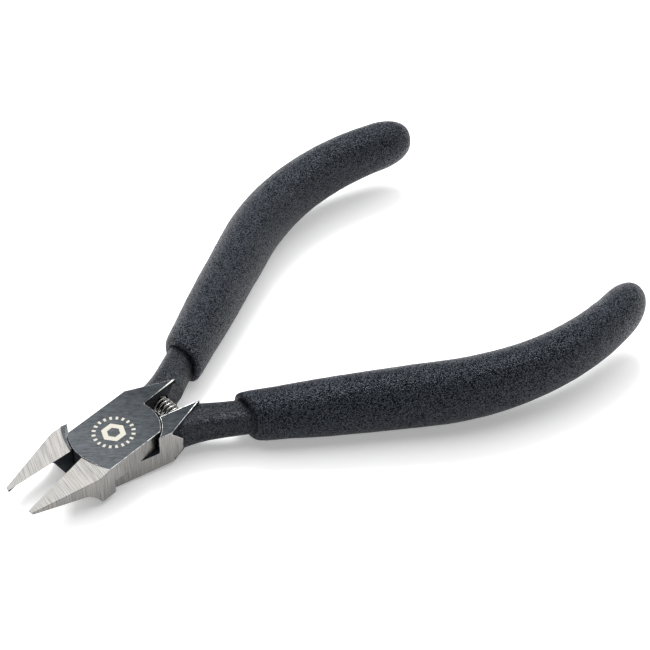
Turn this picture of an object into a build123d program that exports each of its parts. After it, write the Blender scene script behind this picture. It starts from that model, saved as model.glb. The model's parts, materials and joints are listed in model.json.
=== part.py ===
"""Sprue nippers: a lap-jointed, spring-opened flush side cutter for cutting plastic parts from a sprue.

Frame, in millimetres: the origin is on the pivot axis, at the flat underside of the joint.  +X runs
from the pivot towards the handles (the tips point to -X), +Z is up, out of the flush cutting side.

Each half is modelled in its own frame, with the tool closed and z = 0 in the plane where the two laps
meet.  place() then opens it by half of the opening angle and lifts it to the row's frame.
"""
from build123d import *
from math import cos, degrees, radians, sin, sqrt
import os

# ---------------------------------------------------------------- head
OPENING = 16.0            # angle between the cutting edges at rest, held open by the spring
HEAD_THICK = 7.7          # both laps together
HEAD_WIDTH = 12.8         # over the ground side flats
FRONT_R = 9.6             # front edge of each lap, about the pivot
REAR_R = 7.9              # rear edge of each lap
SHOULDER_GAP = 0.25       # between a lap's edge and the other half's shoulder
LAP_GAP = 0.04            # running gap between the two lap faces
RIVET_R = 2.5
RIVET_HEAD_R = 3.3        # its conical heads are ground flush
RIVET_HEAD_H = 1.1
RIVET_CLEARANCE = 0.03    # the upper half turns on the rivet, the lower half holds it

# ---------------------------------------------------------------- jaws
JAW_LENGTH = 23.3         # pivot to tip
TIP_WIDTH = 0.95
TIP_ROUND = 0.4           # the outer corner of the tip
TIP_LEVEL = 0.35          # height of the cutting edge at the tip
EDGE_GAP = 0.03           # each cutting edge stops this far short of the centre plane
JAW_START = -2.0          # a jaw begins inside its lap
JAW_BASE_X = 10.9         # where the outer side of a jaw turns towards the tip
JAW_CORNER_ROUND = 3.0
JAW_FLOOR = -2.85         # underside of a jaw at its base
FACET_STEP = 0.3          # depth of the ground top facet at the edge of the lap
FACET_R = 17.5            # the facet starts along an arc of this radius ...
FACET_CENTRE_X = {1: 7.95, -1: 7.32}   # ... centred here on the upper (1) and lower (-1) half
BEVEL = 0.56              # fall of the relief ground under the edge, per unit of width
RUNOUT_X = -13.85         # where that relief starts to run out
RUNOUT_ANGLE = 62.0       # steepness of the run-out
RUNOUT_ENDS = ((-1.0, 0.3), (9.0, 2.4))   # distance along its crest and rounding there

# ---------------------------------------------------------------- handle roots
ROOT_START = 3.0          # the full-thickness root begins inside the lap
ROOT_OUTER_X = 7.9        # end of the root at the side flat
ROOT_CORNER = (16.65, 1.45)   # rear corner of the flat part of the root
INNER_FLAT = 1.35         # inner wall of each handle root from the centre plane
NOTCH_ROUND = 0.6         # between the root's inner wall and the rear edge of the lap
OVERLAP = 0.1             # pieces to be joined run this far into each other
SIDE_FLAT_END = 12.4      # the ground side flats stop before the shank widens again
BULGE_START = 4.0
BULGE_TOP = 3.3           # half height of the raised side of the root
BULGE_REAR = [(7.9, -3.3), (8.7, -2.6), (10.1, -1.1), (10.1, 1.2), (8.7, 2.9)]   # its rear edge in x, z
BULGE_DEPTH = 3.0
BULGE_TAPER = 28.0        # it spreads inwards at this angle

# ---------------------------------------------------------------- handles
HANDLE_X = 7.2            # where the handle's centre line would cross the tool's centre line
HANDLE_ANGLE = 22.8       # slope of that line, with the tool closed
BEND_START = 55.1         # straight length of the centre line
BEND_R = 60.0             # bend that brings the handle's end back inwards
SHANK_TRIM_X = 5.5        # the shank is cut off here, inside the root
# shank, from inside the root to inside the grip: distance along the centre line, shift outwards,
# width, height, and radius of the corners
SHANK_STATIONS = [(-1.0, 2.2, 10.2, 7.4, 2.0), (3.0, 1.1, 7.8, 7.2, 2.1), (6.5, 0.3, 6.8, 6.9, 2.2),
                  (10.5, 0.0, 6.2, 6.5, 2.2), (16.0, 0.0, 5.9, 6.2, 2.1), (22.0, 0.0, 5.6, 6.0, 2.0)]
TANG_WIDTH = 4.6
TANG_HEIGHT = 5.6
TANG_ROUND = 1.6
TANG_START = 21.0         # along the centre line, inside the grip
TANG_END = 97.0

# ---------------------------------------------------------------- grips
GRIP_FRONT = 17.9         # along the centre line
GRIP_END = 107.7
GRIP_FLATTEN = 0.76       # width of the grip's section over its height, from ROUND_END on
RIM_FLATTEN = 0.88        # the same at the front rim, where the section is rounder
ROUND_END = 46.0
RIM_TILT = 26.0           # the front rim leans back towards the outside of the handle
TILT_LENGTH = 16.0        # the lean dies out over this length
RIM_STEPS = ((0.0, 1.0), (0.33, 0.45), (1.3, 0.05))   # rounded rim: distance behind it, drop from the top
# distance along the centre line and half height of the grip, between the rim and the rounded end
GRIP_STATIONS = [(21.0, 5.35), (25.0, 5.55), (32.0, 6.1), (42.0, 6.62), (54.0, 6.95), (66.0, 6.8),
                 (77.0, 6.45), (86.0, 6.2), (93.0, 6.0), (98.0, 5.8)]
DOME_STEPS = (0.35, 0.6, 0.79, 0.91, 0.975)   # sections of the rounded end, as shares of its length
DOME_POWER = 2.5          # 2 would make the end an ellipse; more is blunter

# ---------------------------------------------------------------- spring
SPRING_X = 12.4           # its seats along the closed half
SEAT_R = 2.1
SEAT_DEPTH = 1.8
SPRING_R = 1.78           # outer radius of the coils
WIRE_R = 0.18
COILS = 10.0
SPRING_END_GAP = 0.32     # a straight spring clears its tilted seats by this

# ---------------------------------------------------------------- derived
HALF_T = HEAD_THICK / 2
HALF_W = HEAD_WIDTH / 2
FACET_Z = HALF_T - FACET_STEP
FACET_SLOPE = (FACET_Z - TIP_LEVEL) / (JAW_LENGTH - FRONT_R)
WIDE = 60.0               # larger than the head in every direction


def on_handle(along, across=0.0):
    """A point of the handle's plan: along its centre line, and across it (outwards is positive)."""
    a = radians(HANDLE_ANGLE)
    start = Vector(HANDLE_X, 0)
    if along <= BEND_START:
        return start + Vector(cos(a), sin(a)) * along + Vector(-sin(a), cos(a)) * across
    turn = a - (along - BEND_START) / BEND_R
    centre = start + Vector(cos(a), sin(a)) * BEND_START + Vector(sin(a), -cos(a)) * BEND_R
    return centre + Vector(-sin(turn), cos(turn)) * (BEND_R + across)


def section_plane(along, across=0.0, lean=0.0):
    """The plane across the handle, leaning by an angle, with its x axis outwards and its y axis up."""
    a = radians(HANDLE_ANGLE - degrees(max(0.0, along - BEND_START) / BEND_R) - lean)
    point = on_handle(along, across)
    return Plane(origin=(point.X, point.Y, 0), x_dir=(-sin(a), cos(a), 0), z_dir=(cos(a), sin(a), 0))


def disc(radius, low, high):
    return Pos(0, 0, low) * extrude(Circle(radius), high - low)


def slab(x0, x1, y0, y1, z0, z1):
    return Pos((x0 + x1) / 2, (y0 + y1) / 2, (z0 + z1) / 2) * Box(x1 - x0, y1 - y0, z1 - z0)


def polygon(*corners):
    return make_face(Polyline(*corners, close=True))


# ---------------------------------------------------------------- one half
def notch_web():
    """Plan of the small web that rounds the corner between the lap's rear edge and the root's wall."""
    y = INNER_FLAT - NOTCH_ROUND
    x = sqrt((REAR_R + NOTCH_ROUND) ** 2 - y ** 2)
    inside = (REAR_R - OVERLAP) / (REAR_R + NOTCH_ROUND)
    top = INNER_FLAT + OVERLAP
    web = polygon((x, y), (x, top), (x * inside, top), (x * inside, y * inside))
    return web - Pos(x, y) * Circle(NOTCH_ROUND)


def lap_and_root():
    """The upper lap, round at the front and rear, in one piece with the full-thickness root behind it."""
    front = disc(FRONT_R, LAP_GAP / 2, HALF_T) & slab(-WIDE, 0, -HALF_W, HALF_W, 0, HALF_T)
    rear = disc(REAR_R, LAP_GAP / 2, HALF_T) & slab(0, WIDE, -HALF_W, HALF_W, 0, HALF_T)
    plan = polygon((ROOT_START, INNER_FLAT), (REAR_R, INNER_FLAT), ROOT_CORNER,
                   (ROOT_OUTER_X, HALF_W), (ROOT_START, HALF_W))
    root = Pos(0, 0, -HALF_T) * extrude(plan, HEAD_THICK)
    web = Pos(0, 0, LAP_GAP / 2) * extrude(notch_web(), HALF_T - LAP_GAP / 2)
    return front + rear + root + web


def bulge():
    """The raised side of the root, whose ground flat carries on the side of the lap."""
    face = polygon((BULGE_START, -BULGE_TOP), *BULGE_REAR, (BULGE_START, BULGE_TOP))
    body = Pos(0, HALF_W, 0) * extrude(Plane.XZ * face, BULGE_DEPTH, taper=-BULGE_TAPER)
    return body & slab(BULGE_START, WIDE, INNER_FLAT, HALF_W, -BULGE_TOP, BULGE_TOP)


def handle():
    """The forged shank, and inside the grip its tang, which follows the bend."""
    sections = []
    for along, across, width, height, corner in SHANK_STATIONS:
        sections.append(section_plane(along, across) * RectangleRounded(width, height, corner))
    middle = on_handle((BEND_START + TANG_END) / 2)
    straight = Line(on_handle(TANG_START), on_handle(BEND_START))
    bend = ThreePointArc(on_handle(BEND_START), middle, on_handle(TANG_END))
    bar = section_plane(TANG_START) * RectangleRounded(TANG_WIDTH, TANG_HEIGHT, TANG_ROUND)
    return loft(sections) + sweep(bar, path=Curve() + [straight, bend])


def relief():
    """What is ground away under a jaw: it rises to the cutting edge and runs out at the jaw's base."""
    bevel_normal = Vector(-FACET_SLOPE, BEVEL, 1)
    run_normal = Vector(sin(radians(RUNOUT_ANGLE)), 0, cos(radians(RUNOUT_ANGLE)))
    crest = bevel_normal.cross(run_normal).normalized()
    ahead = bevel_normal.cross(crest).normalized()
    down = crest.cross(run_normal).normalized() * WIDE
    start = Vector(RUNOUT_X, EDGE_GAP, FACET_Z + FACET_SLOPE * (RUNOUT_X + FRONT_R))
    across = Plane(origin=start, x_dir=ahead, z_dir=crest)
    outline = polygon((0, 0), (WIDE, 0), (down.dot(across.x_dir), down.dot(across.y_dir)))
    corner = outline.vertices().sort_by_distance((0, 0, 0))[0]
    return loft([across.offset(at) * fillet(corner, rounding) for at, rounding in RUNOUT_ENDS], ruled=True)


def jaw(level):
    """The blade of a half, full thickness at its base: at -y on the upper half, at +y on the lower."""
    width = HALF_W - EDGE_GAP
    outline = polygon((JAW_START, 0), (-JAW_LENGTH, 0), (-JAW_LENGTH, TIP_WIDTH), (-JAW_BASE_X, width),
                      (JAW_START, width))
    for x, y, rounding in ((-JAW_BASE_X, width, JAW_CORNER_ROUND), (-JAW_LENGTH, TIP_WIDTH, TIP_ROUND)):
        corner = outline.vertices().sort_by_distance((x, y, 0))[0]
        outline = fillet(corner, rounding)
    block = Pos(0, EDGE_GAP, JAW_FLOOR) * extrude(outline, HALF_T - JAW_FLOOR)

    # the flush facet on top, ground from the edge of the lap down to the tip
    facet = Plane(origin=(-FRONT_R, 0, FACET_Z), x_dir=(0, 1, 0), z_dir=(-FACET_SLOPE, 0, 1))
    above = facet * Box(WIDE, WIDE, WIDE, align=(Align.CENTER, Align.CENTER, Align.MIN))
    kept = Pos(FACET_CENTRE_X[level], 0, 0) * disc(FACET_R, -WIDE, WIDE)
    block -= above - kept

    block -= relief()
    return block if level < 0 else mirror(block, Plane.XZ)


def rivet(clearance=0.0):
    """The pivot: a plain shank with a conical head ground flush at each end."""
    shank = RIVET_R + clearance
    head = RIVET_HEAD_R + clearance
    neck = HALF_T - RIVET_HEAD_H
    profile = polygon((0, -HALF_T), (head, -HALF_T), (shank, -neck), (shank, neck), (head, HALF_T),
                      (0, HALF_T))
    return revolve(Plane.XZ * profile, Axis.Z)


def half(level):
    """One forged half, tool closed: the upper one (level 1) or the lower one (level -1)."""
    back = slab(0, WIDE, -WIDE, WIDE, -WIDE, WIDE)
    shank = handle() & slab(SHANK_TRIM_X, 2 * WIDE, INNER_FLAT, WIDE, -WIDE, WIDE)
    body = lap_and_root() + bulge() + shank
    body -= slab(0, SIDE_FLAT_END, HALF_W, WIDE, -WIDE, WIDE)
    body -= disc(REAR_R + SHOULDER_GAP, -WIDE, LAP_GAP / 2) & back
    seat = Rot(-90, 0, 0) * extrude(Circle(SEAT_R), SEAT_DEPTH + OVERLAP)
    body -= Pos(SPRING_X, INNER_FLAT - OVERLAP, 0) * seat
    if level < 0:
        body = Rot(180, 0, 0) * body

    blade = jaw(level)
    other_lap = disc(FRONT_R + SHOULDER_GAP, -WIDE, LAP_GAP / 2) - back
    blade -= other_lap if level > 0 else Rot(180, 0, 0) * other_lap
    return body + blade - rivet(RIVET_CLEARANCE if level > 0 else 0.0)


# ---------------------------------------------------------------- grip and spring
def grip_section(along, half_height):
    """An oval across the handle; near the front rim it is rounder and leans back, as the rim does."""
    lean = RIM_TILT * max(0.0, 1 - (along - GRIP_FRONT) / TILT_LENGTH)
    rounder = max(0.0, 1 - (along - GRIP_FRONT) / (ROUND_END - GRIP_FRONT))
    flatten = GRIP_FLATTEN + (RIM_FLATTEN - GRIP_FLATTEN) * rounder
    half_width = half_height * flatten / cos(radians(lean))
    return section_plane(along, lean=lean) * Ellipse(half_width, half_height)


def grip():
    """A closed-end sleeve on the upper half's handle, in contact with it all over."""
    rim = GRIP_STATIONS[0][1]
    dome_start, dome_size = GRIP_STATIONS[-1]
    stations = [(GRIP_FRONT + behind, rim - drop) for behind, drop in RIM_STEPS]
    stations += GRIP_STATIONS
    for share in DOME_STEPS:
        size = dome_size * (1 - share ** DOME_POWER) ** (1 / DOME_POWER)
        stations.append((dome_start + share * (GRIP_END - dome_start), size))
    return loft([grip_section(*station) for station in stations]) - handle()


def spring():
    """The compression spring, straight along Y between the two seats, tool open."""
    opened = Rot(0, 0, OPENING / 2)
    bottom = (opened * Pos(SPRING_X, INNER_FLAT + SEAT_DEPTH, 0)).position
    mouth = (opened * Pos(SPRING_X, INNER_FLAT, 0)).position
    x = (bottom.X + mouth.X) / 2
    reach = bottom.Y - SPRING_END_GAP - WIRE_R
    line = Helix(2 * reach / COILS, 2 * reach, SPRING_R - WIRE_R, center=(x, -reach, 0), direction=(0, 1, 0))
    return sweep((line ^ 0) * Circle(WIRE_R), path=line, is_frenet=True)


# ---------------------------------------------------------------- the assembly
def place(solid, level):
    """Opens a half by its share of the rest angle and lifts it to the row's frame."""
    return Pos(0, 0, HALF_T) * Rot(0, 0, level * OPENING / 2) * solid


PARTS = {
    "upper_half": place(half(1), 1),
    "lower_half": place(half(-1), -1),
    "pivot_rivet": place(rivet(), -1),
    "return_spring": Pos(0, 0, HALF_T) * spring(),
    "upper_handle_grip": place(grip(), 1),
    "lower_handle_grip": place(Rot(180, 0, 0) * grip(), -1),
}

os.makedirs("parts", exist_ok=True)
for node, solid in PARTS.items():
    solid.label = node
    export_step(solid, f"parts/{node}.step")
    print(node, "valid" if solid.is_valid else "INVALID", len(solid.solids()), round(solid.volume, 1))
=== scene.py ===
"""Looks of the sprue nippers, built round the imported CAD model.

Everything is in metres, in the row frame: origin on the pivot axis at the joint's flat underside, +X
towards the handles, +Z up.  A "closed" point is in the frame of one half with the tool closed: z = 0
between the laps, y outwards over its own handle, which is +y for the upper half and -y for the lower.
"""
import json
import math

import bmesh
import bpy
from mathutils import Matrix, Vector, noise


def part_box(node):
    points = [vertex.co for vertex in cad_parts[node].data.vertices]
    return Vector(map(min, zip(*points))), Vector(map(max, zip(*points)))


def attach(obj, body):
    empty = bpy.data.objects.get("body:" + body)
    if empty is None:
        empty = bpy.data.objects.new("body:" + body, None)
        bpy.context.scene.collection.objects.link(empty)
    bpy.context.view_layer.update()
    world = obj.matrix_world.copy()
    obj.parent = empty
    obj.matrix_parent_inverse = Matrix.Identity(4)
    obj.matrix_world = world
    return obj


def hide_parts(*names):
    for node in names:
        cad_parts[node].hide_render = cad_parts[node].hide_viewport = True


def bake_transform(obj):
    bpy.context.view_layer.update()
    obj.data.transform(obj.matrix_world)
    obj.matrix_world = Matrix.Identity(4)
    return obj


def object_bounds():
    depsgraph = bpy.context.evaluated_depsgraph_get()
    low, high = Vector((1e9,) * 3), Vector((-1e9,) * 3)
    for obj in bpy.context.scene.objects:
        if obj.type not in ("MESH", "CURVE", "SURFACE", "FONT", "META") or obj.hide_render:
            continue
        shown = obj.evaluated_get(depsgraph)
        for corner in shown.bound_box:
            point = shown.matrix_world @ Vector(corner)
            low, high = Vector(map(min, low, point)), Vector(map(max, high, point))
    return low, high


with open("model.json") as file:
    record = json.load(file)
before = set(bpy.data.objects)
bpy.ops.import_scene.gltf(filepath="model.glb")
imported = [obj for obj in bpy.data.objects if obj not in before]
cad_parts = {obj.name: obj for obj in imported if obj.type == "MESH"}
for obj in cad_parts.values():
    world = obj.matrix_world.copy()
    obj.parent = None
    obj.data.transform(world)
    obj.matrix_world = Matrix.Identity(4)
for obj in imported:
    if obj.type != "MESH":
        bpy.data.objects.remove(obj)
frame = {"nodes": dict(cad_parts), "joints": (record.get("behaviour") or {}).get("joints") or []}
cad_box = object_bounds()

# ---------------------------------------------------------------- sizes, in metres
MM = 0.001
UPPER, LOWER = 1, -1       # the level of a half, after its lap
OPENING = math.radians(max(frame["joints"][0]["range_deg"]))
PIVOT_LOW, PIVOT_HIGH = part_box("pivot_rivet")
HALF_T = (PIVOT_HIGH.z - PIVOT_LOW.z) / 2
HALF_W = 6.4 * MM          # centre plane to the ground side flat
FRONT_R = 9.6 * MM         # front edge of each lap, about the pivot
JAW_R = FRONT_R + 0.3 * MM   # in front, the faces beyond this are the jaw's
INNER_FLAT = 1.35 * MM     # inner wall of each root from the centre plane
ROOT_REAR_X = 7.9 * MM     # the root's rear edge runs from here at the side flat ...
ROOT_TIP_X = 16.0 * MM     # ... to here at the inner wall
SHANK_X = 8.2 * MM         # nothing of the rough shank is in front of this
SIDE_FLAT_END = 12.4 * MM

HANDLE_X = 7.2 * MM        # where a handle's centre line would cross the tool's centre line
HANDLE_ANGLE = math.radians(22.8)
BEND_START = 55.1 * MM
BEND_R = 60.0 * MM

GRIP_FRONT = 17.9 * MM
GRIP_END = 107.7 * MM
DOME_POWER = 2.5           # 2 would make the end of a grip an ellipse; more is blunter
GRIP_FLATTEN = 0.76        # width of a grip's section over its height, from ROUND_END on
RIM_FLATTEN = 0.88         # the same at its front rim
ROUND_END = 46.0 * MM
RIM_TILT = math.radians(26.0)
TILT_LENGTH = 16.0 * MM
# distance along the centre line and half height of the grip, in mm, from the rim to the rounded end
GRIP_STATIONS = [(17.9, 5.15), (21, 5.35), (25, 5.55), (32, 6.1), (42, 6.62), (54, 6.95), (66, 6.8),
                 (77, 6.45), (86, 6.2), (93, 6.0), (98, 5.8)]
DOME_START = 98 * MM
BORE_W = 2.95 * MM         # half width of the bore at the tang
BORE_H = 3.12 * MM
BORE_DEPTHS = (60 * MM, 30 * MM, 22 * MM)   # its sections, from its closed end forwards
BORE_EDGE = 0.25 * MM      # rounding at the mouth of the bore
RIM_DROP = 1.1 * MM        # rounding of the rim: how far in from the outside ...
RIM_BACK = 1.5 * MM        # ... and how far back from the front
RING_STEP = 0.55 * MM
DOME_RINGS = 26
GRIP_WAVES = ((2.6 * MM, 0.035 * MM), (0.8 * MM, 0.02 * MM))   # size and depth of its unevenness
GRIP_SINK = 0.02 * MM      # taken off all over, to make room for the waves

WIRE_R = 0.18 * MM
COIL_R = 1.78 * MM - WIRE_R
TURNS = 10.5
SPRING_BOW = 0.3 * MM      # the middle of the spring stands this far back from its ends

MARK_CENTRE_X = -1.3 * MM
MARK_RISE = 0.004 * MM     # its middle stands this far above the plate
MARK_THICK = 0.012 * MM
HEXAGON = (1.3 * MM, 2.45 * MM)   # inner and outer radius of the mark's hexagon ring
TICKS = 20
TICK_REACH = (3.4 * MM, 4.15 * MM)
TICK_ANGLE = 0.13

WORN_AND_HIGHLIT_EDGE = 0.10 * MM      # rounding of the blackened edges, in bright steel: partly where the finish has worn through, partly a painted highlight
ROOT_CHAMFER = 0.20 * MM   # the wider one on the inner top edges of the roots
SIDE_EDGE = 0.07 * MM      # rounding of the edges between ground and blackened faces
GRIND_TURN = math.radians(14)   # the grinding lines lie this far off square across the jaws ...
GRIND_TILT = math.radians(1)    # ... and lean this far on the sides
FRONT_EDGE = 0.05 * MM     # rounding of the blackened edges in front, beside the narrow step
KEEN_EDGE = 0.04 * MM      # rounding of the edges between ground faces
CUTTING_EDGE = 0.25 * MM   # in front, edges this close to the centre plane cut, and stay sharp

ON_FACE = 0.02 * MM        # within this, a point lies on a face

# The tool tips forward: it rests on its head, here, and on the bellies of its grips.
HEAD_REST_X = -9.6 * MM
REST_SLOPE = 0.0545
FLOOR_REACH = 3.0


# ---------------------------------------------------------------- frames
def opened(level):
    """From a half's closed frame to the row frame."""
    flip = Matrix.Scale(level, 4, (0, 1, 0))
    return Matrix.Translation((0, 0, HALF_T)) @ Matrix.Rotation(level * OPENING / 2, 4, "Z") @ flip


def on_handle(along):
    """The point of a handle's centre line, in plan, that lies this far along it."""
    a = HANDLE_ANGLE
    start = Vector((HANDLE_X, 0))
    forwards = Vector((math.cos(a), math.sin(a)))
    outwards = Vector((-math.sin(a), math.cos(a)))
    if along <= BEND_START:
        return start + forwards * along
    turn = a - (along - BEND_START) / BEND_R
    centre = start + forwards * BEND_START - outwards * BEND_R
    return centre + Vector((-math.sin(turn), math.cos(turn))) * BEND_R


def heading(along):
    """Direction of a handle's centre line there."""
    return HANDLE_ANGLE - max(0.0, along - BEND_START) / BEND_R


# ---------------------------------------------------------------- shader helpers
def add(tree, kind, inputs=None, **settings):
    """Adds a node; inputs are sockets to link or values to set, by the input's name or number."""
    made = tree.nodes.new(kind)
    for key, value in settings.items():
        setattr(made, key, value)
    for key, value in (inputs or {}).items():
        if isinstance(value, bpy.types.NodeSocket):
            tree.links.new(value, made.inputs[key])
        else:
            made.inputs[key].default_value = value
    return made


def calc(tree, operation, *values):
    return add(tree, "ShaderNodeMath", dict(enumerate(values)), operation=operation).outputs[0]


def spread(tree, value, low, high, to_low=0.0, to_high=1.0):
    """Maps a value from one range to another, and no further."""
    inputs = {"Value": value, "From Min": low, "From Max": high, "To Min": to_low, "To Max": to_high}
    return add(tree, "ShaderNodeMapRange", inputs).outputs[0]


def mixed(tree, factor, a, b):
    inputs = {"Factor": factor, 6: a, 7: b}
    return add(tree, "ShaderNodeMix", inputs, data_type="RGBA").outputs[2]


def place_coords(tree, turn=0.0, tilt=0.0, scale=(1.0, 1.0, 1.0)):
    """Object coordinates turned about Z, tilted about Y, then stretched."""
    coords = add(tree, "ShaderNodeTexCoord").outputs["Object"]
    turned = add(tree, "ShaderNodeMapping", {"Vector": coords, "Rotation": (0, 0, turn)}).outputs[0]
    tilted = add(tree, "ShaderNodeMapping", {"Vector": turned, "Rotation": (0, tilt, 0)}).outputs[0]
    return add(tree, "ShaderNodeMapping", {"Vector": tilted, "Scale": scale}).outputs[0]


def grain(tree, vector, size, detail=2.0, rough=0.5):
    """Noise with features of about that size, in metres; 0 to 1."""
    inputs = {"Vector": vector, "Scale": 1.0 / size, "Detail": detail, "Roughness": rough}
    return add(tree, "ShaderNodeTexNoise", inputs).outputs["Fac"]


def bumped(tree, height, distance, strength=1.0):
    inputs = {"Height": height, "Distance": distance, "Strength": strength}
    return add(tree, "ShaderNodeBump", inputs).outputs[0]


def material(name, colour, roughness, normal, blank_pair, **others):
    """Finishes a material: sockets or values for the colour, roughness and other shader inputs."""
    made, tree = blank_pair
    made.name = name
    shader = add(tree, "ShaderNodeBsdfPrincipled", {"Base Color": colour, "Roughness": roughness})
    for key, value in others.items():
        socket = shader.inputs[key.replace("_", " ")]
        if isinstance(value, bpy.types.NodeSocket):
            tree.links.new(value, socket)
        else:
            socket.default_value = value
    if normal is not None:
        tree.links.new(normal, shader.inputs["Normal"])
    out = add(tree, "ShaderNodeOutputMaterial")
    tree.links.new(shader.outputs[0], out.inputs["Surface"])
    return made


def blank():
    made = bpy.data.materials.new("finish")
    made.use_nodes = True
    made.node_tree.nodes.clear()
    return made, made.node_tree


# ---------------------------------------------------------------- finishes
def ground_steel(name, turn, tilt, tone):
    """Bare steel with the fine lines of a grinding wheel across it."""
    made, tree = blank()
    fine = grain(tree, place_coords(tree, turn, tilt, (1, 0.02, 0.02)), 0.10 * MM, 1.0, 0.5)
    coarse = grain(tree, place_coords(tree, turn, tilt, (1, 0.03, 0.03)), 0.4 * MM, 1.0, 0.5)
    cloud = grain(tree, place_coords(tree), 3.0 * MM, 3.0, 0.6)
    lines = calc(tree, "ADD", calc(tree, "MULTIPLY", fine, 0.9), calc(tree, "MULTIPLY", coarse, 0.1))
    shade = spread(tree, lines, 0.36, 0.62)
    dark = tuple(c * 0.6 for c in tone)
    colour = mixed(tree, shade, (*dark, 1), (*tone, 1))
    warm = mixed(tree, spread(tree, cloud, 0.4, 0.7, 0.0, 0.25), colour, (0.33, 0.30, 0.26, 1))
    rough = spread(tree, lines, 0.3, 0.7, 0.24, 0.34)
    normal = bumped(tree, lines, 0.012 * MM, 0.5)
    return material(name, warm, rough, normal, (made, tree), Metallic=1.0)


def black_oxide(name):
    """Smooth ground steel under a blue-black oxide finish: cloudy, finely scratched, with a painted
    sheen that is strongest in front and fades towards the rear.
    """
    made, tree = blank()
    where = place_coords(tree)
    cloud = grain(tree, where, 1.6 * MM, 3.0, 0.65)
    scratch = grain(tree, place_coords(tree, 0.65, 0.0, (0.12, 1, 1)), 0.2 * MM, 2.0, 0.7)
    shade = calc(tree, "ADD", calc(tree, "MULTIPLY", cloud, 0.45), calc(tree, "MULTIPLY", scratch, 0.55))
    tone = spread(tree, shade, 0.38, 0.6)
    colour = mixed(tree, tone, (0.009, 0.0115, 0.014, 1), (0.032, 0.038, 0.045, 1))
    along = add(tree, "ShaderNodeSeparateXYZ", {"Vector": where}).outputs[0]
    # painted sheen: the specular level falls from front to rear, standing in for the reflection fading
    # along the plate
    gloss_with_painted_falloff = calc(tree, "MULTIPLY", spread(tree, along, -7 * MM, 11 * MM, 0.17, 0.03),
                 spread(tree, shade, 0.38, 0.6, 0.6, 1.4))
    rough = spread(tree, cloud, 0.3, 0.7, 0.36, 0.48)
    normal = bumped(tree, scratch, 0.015 * MM, 0.35)
    return material(name, colour, rough, normal, (made, tree), Specular_IOR_Level=gloss_with_painted_falloff,
                    Specular_Tint=(0.84, 0.92, 1.0, 1))


def forged_black(name):
    """The shanks: rough forged skin under the oxide, with pits that catch the light."""
    made, tree = blank()
    where = place_coords(tree)
    pits = grain(tree, where, 0.5 * MM, 2.0, 0.6)
    fine = grain(tree, where, 0.15 * MM, 1.0, 0.5)
    skin = calc(tree, "ADD", calc(tree, "MULTIPLY", pits, 0.25), calc(tree, "MULTIPLY", fine, 0.75))
    glint = spread(tree, skin, 0.44, 0.6, 0.05, 1.0)
    colour = mixed(tree, glint, (0.002, 0.003, 0.004, 1), (0.014, 0.017, 0.022, 1))
    normal = bumped(tree, skin, 0.4 * MM, 1.0)
    return material(name, colour, 0.36, normal, (made, tree), Specular_IOR_Level=glint,
                    Specular_Tint=(0.85, 0.9, 1.0, 1))


def worn_and_highlit_edge(name):
    """Bright steel on the rounded edges: partly where the oxide has rubbed off, partly a painted
    highlight for the light the edges catch; in places still dark.
    """
    made, tree = blank()
    where = place_coords(tree)
    patch = grain(tree, where, 0.9 * MM, 3.0, 0.7)
    # painted highlight: the bright steel colour stands partly for real wear, partly for the light the
    # rounded edges catch
    colour = mixed(tree, spread(tree, patch, 0.36, 0.58), (0.15, 0.155, 0.165, 1), (0.66, 0.66, 0.65, 1))
    return material(name, colour, 0.45, bumped(tree, patch, 0.02 * MM, 0.4), (made, tree), Metallic=0.85)


def dipped_grip(name):
    """Soft blue-black grip with a sandy grain: small domes, some of them paler."""
    made, tree = blank()
    where = place_coords(tree)
    large = add(tree, "ShaderNodeTexVoronoi", {"Vector": where, "Scale": 1 / (0.29 * MM)})
    small = add(tree, "ShaderNodeTexVoronoi", {"Vector": where, "Scale": 1 / (0.175 * MM)})
    domes = calc(tree, "SUBTRACT", 1.0, large.outputs["Distance"])
    beads = calc(tree, "SUBTRACT", 1.0, small.outputs["Distance"])
    height = calc(tree, "ADD", calc(tree, "MULTIPLY", domes, 0.6), calc(tree, "MULTIPLY", beads, 0.4))
    lot = add(tree, "ShaderNodeSeparateColor", {"Color": small.outputs["Color"]}).outputs[0]
    glint = calc(tree, "MULTIPLY", spread(tree, lot, 0.1, 0.9, 0.08, 1.0),
                 spread(tree, beads, 0.22, 0.65))
    colour = mixed(tree, glint, (0.001, 0.0015, 0.0025, 1), (0.027, 0.032, 0.043, 1))
    normal = bumped(tree, height, 0.3 * MM, 1.0)
    return material(name, colour, 0.37, normal, (made, tree), Specular_IOR_Level=glint,
                    Specular_Tint=(0.75, 0.84, 1.0, 1))


def spring_wire(name):
    """Drawn music wire, bright, with lengthwise draw marks too fine to see as lines."""
    made, tree = blank()
    where = place_coords(tree)
    marks = grain(tree, where, 0.12 * MM, 2.0, 0.6)
    colour = mixed(tree, marks, (0.30, 0.295, 0.28, 1), (0.52, 0.51, 0.48, 1))
    rough = spread(tree, marks, 0.3, 0.7, 0.16, 0.3)
    return material(name, colour, rough, None, (made, tree), Metallic=1.0)


def etched(name):
    """The pale, matt steel of an etched mark."""
    made, tree = blank()
    frost = grain(tree, place_coords(tree), 0.2 * MM, 2.0, 0.6)
    colour = mixed(tree, frost, (0.24, 0.23, 0.195, 1), (0.36, 0.345, 0.30, 1))
    return material(name, colour, 0.55, bumped(tree, frost, 0.01 * MM, 0.4), (made, tree), Metallic=0.35)


# ---------------------------------------------------------------- mesh helpers
def mesh_object(name, verts, faces, finishes, smooth=True):
    mesh = bpy.data.meshes.new(name)
    mesh.from_pydata([tuple(v) for v in verts], [], faces)
    for finish in finishes:
        mesh.materials.append(finish)
    if smooth:
        mesh.shade_smooth()
    made = bpy.data.objects.new(name, mesh)
    bpy.context.scene.collection.objects.link(made)
    return made


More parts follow.
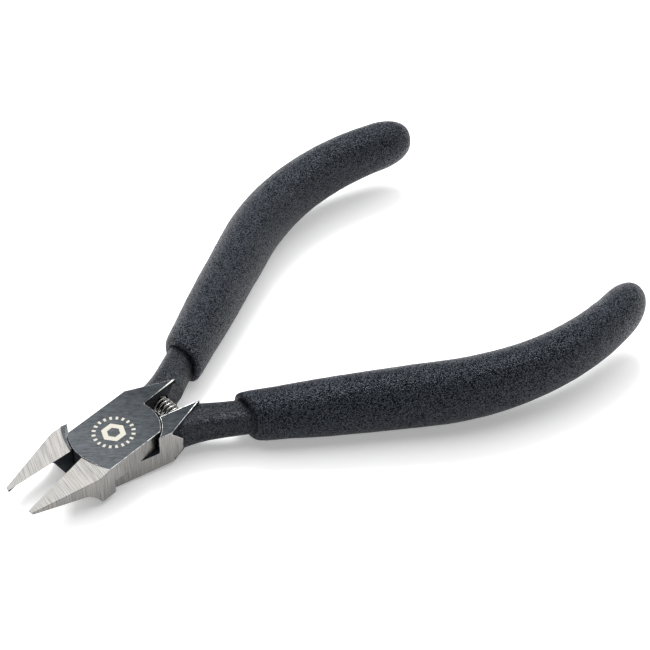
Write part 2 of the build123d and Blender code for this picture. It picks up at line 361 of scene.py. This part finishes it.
def skin_rings(rings):
    """Quads between equal rings, each end closed by a fan to its middle."""
    count = len(rings[0])
    verts = [point for ring in rings for point in ring]
    faces = []
    for r in range(len(rings) - 1):
        for i in range(count):
            j = (i + 1) % count
            faces.append((r * count + i, r * count + j, (r + 1) * count + j, (r + 1) * count + i))
    for ring, first, turned in ((rings[0], 0, True), (rings[-1], (len(rings) - 1) * count, False)):
        verts.append(sum(ring, Vector()) / count)
        middle = len(verts) - 1
        for i in range(count):
            pair = (first + i, first + (i + 1) % count)
            faces.append((pair[1], pair[0], middle) if turned else (pair[0], pair[1], middle))
    return verts, faces


# ---------------------------------------------------------------- the two forgings
# the fourth finish is the bright edge steel: partly real wear, partly a painted highlight
GROUND, OXIDE, FORGED, WORN_AND_HIGHLIT = range(4)


def zone(centre, normal):
    """Which finish a face has, from its closed centre and normal."""
    radius = math.hypot(centre.x, centre.y)
    inward = normal.y > 0.5 if centre.x < 0 else normal.y < -0.5
    top_or_bottom = abs(normal.z) > 0.99
    if abs(abs(centre.y) - HALF_W) < 0.05 * MM and abs(normal.y) > 0.99 and centre.x < SIDE_FLAT_END:
        return GROUND
    if centre.x < 0 and radius > JAW_R:
        if normal.x < 0.3 and not inward and not top_or_bottom:
            return GROUND
        return OXIDE
    along_root = (centre.x - ROOT_REAR_X) / (ROOT_TIP_X - ROOT_REAR_X)
    across_root = (centre.y - INNER_FLAT) / (HALF_W - INNER_FLAT)
    if along_root + across_root > 0.98 and centre.x > SHANK_X and abs(centre.z) < HALF_T - ON_FACE:
        return FORGED
    return OXIDE


KEEN = -1


def edge_share(edge, to_closed):
    """How far an edge is rounded, as a share of the widest chamfer; KEEN between two ground faces."""
    if not edge.is_manifold or not edge.is_convex or edge.calc_face_angle() < math.radians(28):
        return 0
    middle = to_closed @ ((edge.verts[0].co + edge.verts[1].co) / 2)
    radius = math.hypot(middle.x, middle.y)
    if radius < PIVOT_HIGH.x + 0.4 * MM or edge.calc_length() < 0.01 * MM:
        return 0
    if middle.x < -FRONT_R and abs(middle.y) < CUTTING_EDGE:
        return 0
    kinds = {face.material_index for face in edge.link_faces}
    on_plate = all(abs(abs((to_closed @ v.co).z) - HALF_T) < ON_FACE for v in edge.verts)
    if kinds == {GROUND}:
        return KEEN
    if on_plate and middle.x < -7 * MM and radius > FRONT_R - 0.1 * MM:
        return FRONT_EDGE / ROOT_CHAMFER if radius < FRONT_R + 0.28 * MM else 0
    if on_plate and middle.x > SHANK_X and abs(middle.y - INNER_FLAT) < 0.3 * MM:
        return 1
    if on_plate:
        return WORN_AND_HIGHLIT_EDGE / ROOT_CHAMFER
    return SIDE_EDGE / ROOT_CHAMFER if GROUND in kinds else 0


def forging(level):
    """The CAD forging with softened edges and one finish per ground, blackened, forged or bright edge
    face; the bright edges are partly worn and partly a painted highlight.
    """
    side = "upper" if level == UPPER else "lower"
    node = frame["nodes"][side + "_half"]
    to_closed = opened(level).inverted()
    bm = bmesh.new()
    bm.from_mesh(node.data)
    bmesh.ops.remove_doubles(bm, verts=bm.verts, dist=0.002 * MM)
    bmesh.ops.dissolve_limit(bm, angle_limit=math.radians(0.4), verts=bm.verts, edges=bm.edges,
                             delimit={"NORMAL"})
    bm.normal_update()
    turned = to_closed.to_3x3()
    for face in bm.faces:
        face.material_index = zone(to_closed @ face.calc_center_median(), turned @ face.normal)
        face.smooth = True

    keen = [edge for edge in bm.edges if edge_share(edge, to_closed) == KEEN]
    bmesh.ops.bevel(bm, geom=keen, offset=KEEN_EDGE, offset_type="OFFSET", segments=1, profile=0.5,
                    affect="EDGES", clamp_overlap=False, material=GROUND)
    bm.normal_update()
    shares = bm.edges.layers.float.new("bevel_weight_edge")
    for edge in bm.edges:
        edge[shares] = max(0.0, edge_share(edge, to_closed))

    mesh = bpy.data.meshes.new(side + "_forging")
    bm.to_mesh(mesh)
    bm.free()
    turn = GRIND_TURN - level * OPENING / 2
    steel = ground_steel(side + "_ground_steel", turn, GRIND_TILT, (0.30, 0.294, 0.286))
    for finish in (steel, OXIDE_FINISH, FORGED_FINISH, WORN_AND_HIGHLIT_FINISH):
        mesh.materials.append(finish)
    mesh.set_sharp_from_angle(angle=math.radians(24))
    made = bpy.data.objects.new(side + "_forging", mesh)
    bpy.context.scene.collection.objects.link(made)
    soft = made.modifiers.new("soft_edges", "BEVEL")
    soft.limit_method = "WEIGHT"
    soft.offset_type = "OFFSET"
    soft.width = ROOT_CHAMFER
    soft.segments = 2
    soft.use_clamp_overlap = False
    # the rounded edges take the bright edge steel: partly real wear, partly a painted highlight
    soft.material = WORN_AND_HIGHLIT
    flats = made.modifiers.new("flats_stay_flat", "WEIGHTED_NORMAL")
    flats.mode = "FACE_AREA"
    flats.weight = 100
    flats.keep_sharp = True
    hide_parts(side + "_half")
    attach(made, side + "_side")


# ---------------------------------------------------------------- grips
def half_height(along):
    """Half height of the grip by smooth interpolation of its stations, then a rounded end."""
    stations = [(a * MM, h * MM) for a, h in GRIP_STATIONS]
    dome_size = stations[-1][1]
    if along >= DOME_START:
        share = min(1.0, (along - DOME_START) / (GRIP_END - DOME_START))
        return dome_size * max(0.0, 1 - share ** DOME_POWER) ** (1 / DOME_POWER)
    for i in range(len(stations) - 1):
        (a0, h0), (a1, h1) = stations[i], stations[i + 1]
        if along <= a1:
            before = stations[max(0, i - 1)]
            after = stations[min(len(stations) - 1, i + 2)]
            m0 = (h1 - before[1]) / (a1 - before[0]) * (a1 - a0)
            m1 = (after[1] - h0) / (after[0] - a0) * (a1 - a0)
            t = (along - a0) / (a1 - a0)
            return ((2 * t ** 3 - 3 * t ** 2 + 1) * h0 + (t ** 3 - 2 * t ** 2 + t) * m0
                    + (3 * t ** 2 - 2 * t ** 3) * h1 + (t ** 3 - t ** 2) * m1)
    return dome_size


def flatten(along):
    """Width of the grip's section over its height there."""
    rounder = max(0.0, 1 - (along - GRIP_FRONT) / (ROUND_END - GRIP_FRONT))
    return GRIP_FLATTEN + (RIM_FLATTEN - GRIP_FLATTEN) * rounder


def oval_ring(along, half_width, height, square=2.0, count=112):
    """A ring across the handle; square is 2 for an ellipse and more for a rounded rectangle."""
    lean = RIM_TILT * max(0.0, 1 - (along - GRIP_FRONT) / TILT_LENGTH)
    a = heading(along) - lean
    middle = on_handle(along)
    ring = []
    for i in range(count):
        t = 2 * math.pi * i / count
        c, s = math.cos(t), math.sin(t)
        across = math.copysign(abs(c) ** (2 / square), c) * half_width / math.cos(lean)
        up = math.copysign(abs(s) ** (2 / square), s) * height
        ring.append(Vector((middle.x - math.sin(a) * across, middle.y + math.cos(a) * across, up)))
    return ring


def body_ring(along):
    return oval_ring(along, half_height(along) * flatten(along), half_height(along))


def grip(level, finish):
    """A slip-on grip: a deep bore round the tang, a rolled front rim, oval body and rounded end.

    It swells evenly behind the rim.  The CAD grip that it replaces has a neck there, which is a fault.
    """
    side = "upper" if level == UPPER else "lower"
    rings = [oval_ring(depth, BORE_W, BORE_H, 3.2) for depth in BORE_DEPTHS]
    rim_h = half_height(GRIP_FRONT)
    rim_w = rim_h * RIM_FLATTEN
    for i in range(5):
        turn = math.pi / 2 * i / 4
        fall = BORE_EDGE * (1 - math.cos(turn))
        along = GRIP_FRONT + BORE_EDGE * (1 - math.sin(turn))
        rings.append(oval_ring(along, BORE_W + fall, BORE_H + fall, 3.0))
    for i in range(11):
        turn = math.pi / 2 * i / 10
        fall = RIM_DROP * (1 - math.sin(turn))
        rings.append(oval_ring(GRIP_FRONT + RIM_BACK * (1 - math.cos(turn)), rim_w - fall, rim_h - fall,
                               2.6 - 0.6 * math.sin(turn)))
    along = GRIP_FRONT + RIM_BACK + RING_STEP
    while along < DOME_START:
        rings.append(body_ring(along))
        along += RING_STEP
    for i in range(1, DOME_RINGS):
        turn = math.pi / 2 * i / DOME_RINGS
        rings.append(body_ring(DOME_START + (GRIP_END - DOME_START) * math.sin(turn)))
    verts, faces = skin_rings(rings)
    made = mesh_object(side + "_grip", [opened(level) @ v for v in verts], faces, [finish])
    if level == UPPER:
        made.data.flip_normals()
    normals = [vertex.normal.copy() for vertex in made.data.vertices]
    for vertex, normal in zip(made.data.vertices, normals):
        wave = sum(noise.noise(vertex.co / size) * depth for size, depth in GRIP_WAVES)
        vertex.co += normal * (wave - GRIP_SINK)
    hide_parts(side + "_handle_grip")
    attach(made, side + "_side")


# ---------------------------------------------------------------- spring
def spring(finish):
    """Round wire in a helix between the two seats, with closed end turns."""
    low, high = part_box("return_spring")
    reach = (high.y - low.y) / 2 - WIRE_R
    x_end = (low.x + high.x) / 2
    per_turn, around = 40, 14
    end_turn = 2.1 * WIRE_R     # rise of the closed turn at each end
    path = []
    total = int(TURNS * per_turn)
    for i in range(total + 1):
        t = i / per_turn
        if t < 1:
            y = end_turn * t
        elif t > TURNS - 1:
            y = 2 * reach - end_turn * (TURNS - t)
        else:
            y = end_turn + (2 * reach - 2 * end_turn) * (t - 1) / (TURNS - 2)
        y -= reach
        angle = 2 * math.pi * t
        x = x_end + SPRING_BOW * (1 - (y / reach) ** 2)
        path.append(Vector((x + COIL_R * math.cos(angle), y, HALF_T + COIL_R * math.sin(angle))))
    rings = []
    for i, point in enumerate(path):
        tangent = (path[min(i + 1, total)] - path[max(i - 1, 0)]).normalized()
        side = tangent.cross(Vector((0, 1, 0))).normalized()
        up = side.cross(tangent)
        angles = [2 * math.pi * k / around for k in range(around)]
        rings.append([point + WIRE_R * (math.cos(a) * side + math.sin(a) * up) for a in angles])
    verts, faces = skin_rings(rings)
    made = mesh_object("coil_spring", verts, faces, [finish])
    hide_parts("return_spring")
    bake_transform(made)


# ---------------------------------------------------------------- mark
def mark(finish):
    """A generic etched mark on the plate: a hexagon ring inside a ring of plain ticks."""
    top = HALF_T + MARK_RISE
    verts, faces = [], []

    def quad(*corners):
        first = len(verts)
        verts.extend(Vector((x, y, top)) for x, y in corners)
        faces.append(tuple(range(first, first + len(corners))))

    def polar(radius, angle):
        return MARK_CENTRE_X + radius * math.cos(angle), radius * math.sin(angle)

    def piece_of_ring(radii, start, end):
        quad(polar(radii[0], start), polar(radii[1], start), polar(radii[1], end), polar(radii[0], end))

    for i in range(6):
        piece_of_ring(HEXAGON, math.radians(60 * i), math.radians(60 * (i + 1)))
    for i in range(TICKS):
        a = 2 * math.pi * i / TICKS
        piece_of_ring(TICK_REACH, a - TICK_ANGLE / 2, a + TICK_ANGLE / 2)
    made = mesh_object("plate_mark", [opened(UPPER) @ v for v in verts], faces, [finish], smooth=False)
    thick = made.modifiers.new("thickness", "SOLIDIFY")
    thick.thickness = MARK_THICK
    thick.offset = 0
    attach(made, "upper_side")


# ---------------------------------------------------------------- floor, light and camera
def stage():
    """A pale floor, tipped because the head's underside isn't parallel to the table the tool lies on."""
    r = FLOOR_REACH
    corners = [(-r, -r), (r, -r), (r, r), (-r, r)]
    verts = [(x, y, (HEAD_REST_X - x) * REST_SLOPE) for x, y in corners]
    floor = mesh_object("floor", verts, [(0, 1, 2, 3)], [], smooth=False)
    made, tree = blank()
    paper = grain(tree, place_coords(tree), 2.0 * MM, 2.0, 0.5)
    colour = mixed(tree, paper, (0.80, 0.80, 0.80, 1), (0.82, 0.82, 0.82, 1))
    glow = {"Emission_Color": (1, 1, 1, 1), "Emission_Strength": 0.35}
    floor.data.materials.append(material("lit_table", colour, 0.9, None, (made, tree), **glow))


def area_light(name, place, aim, size, power):
    data = bpy.data.lights.new(name, "AREA")
    data.shape = "RECTANGLE"
    data.size, data.size_y = size
    data.energy = power
    lamp = bpy.data.objects.new(name, data)
    lamp.location = place
    lamp.rotation_euler = (Vector(aim) - Vector(place)).to_track_quat("-Z", "Y").to_euler()
    bpy.context.scene.collection.objects.link(lamp)


def lights():
    scene = bpy.context.scene
    scene.view_settings.view_transform = "Standard"
    world = bpy.data.worlds.new("studio")
    world.use_nodes = True
    scene.world = world
    world.node_tree.nodes["Background"].inputs["Color"].default_value = (1, 1, 1, 1)
    world.node_tree.nodes["Background"].inputs["Strength"].default_value = 0.15
    area_light("softbox", (0.42, 0.455, 1.04), (0.03, 0, 0), (2.4, 2.0), 33.0)
    area_light("key", (0.55, 0.63, 0.84), (0.03, 0, 0), (0.45, 0.45), 12.0)


def camera():
    azimuth, elevation = math.radians(-40.70), math.radians(42.56)
    target = Vector((0.05582, 0.00553, cad_box[0].z))
    distance = 0.4273
    back = Vector((math.sin(azimuth) * math.cos(elevation), -math.cos(azimuth) * math.cos(elevation),
                   math.sin(elevation)))
    data = bpy.data.cameras.new("camera")
    data.lens = 115.2
    data.sensor_width = 36.0
    data.clip_start = 0.01
    made = bpy.data.objects.new("camera", data)
    made.location = target + back * distance
    made.rotation_euler = (-back).to_track_quat("-Z", "Y").to_euler()
    bpy.context.scene.collection.objects.link(made)
    bpy.context.scene.camera = made


OXIDE_FINISH = black_oxide("black_oxide")
FORGED_FINISH = forged_black("forged_black")
# bright edge steel: partly real wear, partly a painted highlight
WORN_AND_HIGHLIT_FINISH = worn_and_highlit_edge("worn_and_highlit_edge")
GRIP_FINISH = dipped_grip("dipped_grip")

for level in (UPPER, LOWER):
    forging(level)
    grip(level, GRIP_FINISH)
spring(spring_wire("spring_wire"))
mark(etched("etched_mark"))
rivet_mesh = frame["nodes"]["pivot_rivet"].data
rivet_mesh.materials.clear()
rivet_mesh.materials.append(black_oxide("rivet_oxide"))
stage()
lights()
camera()
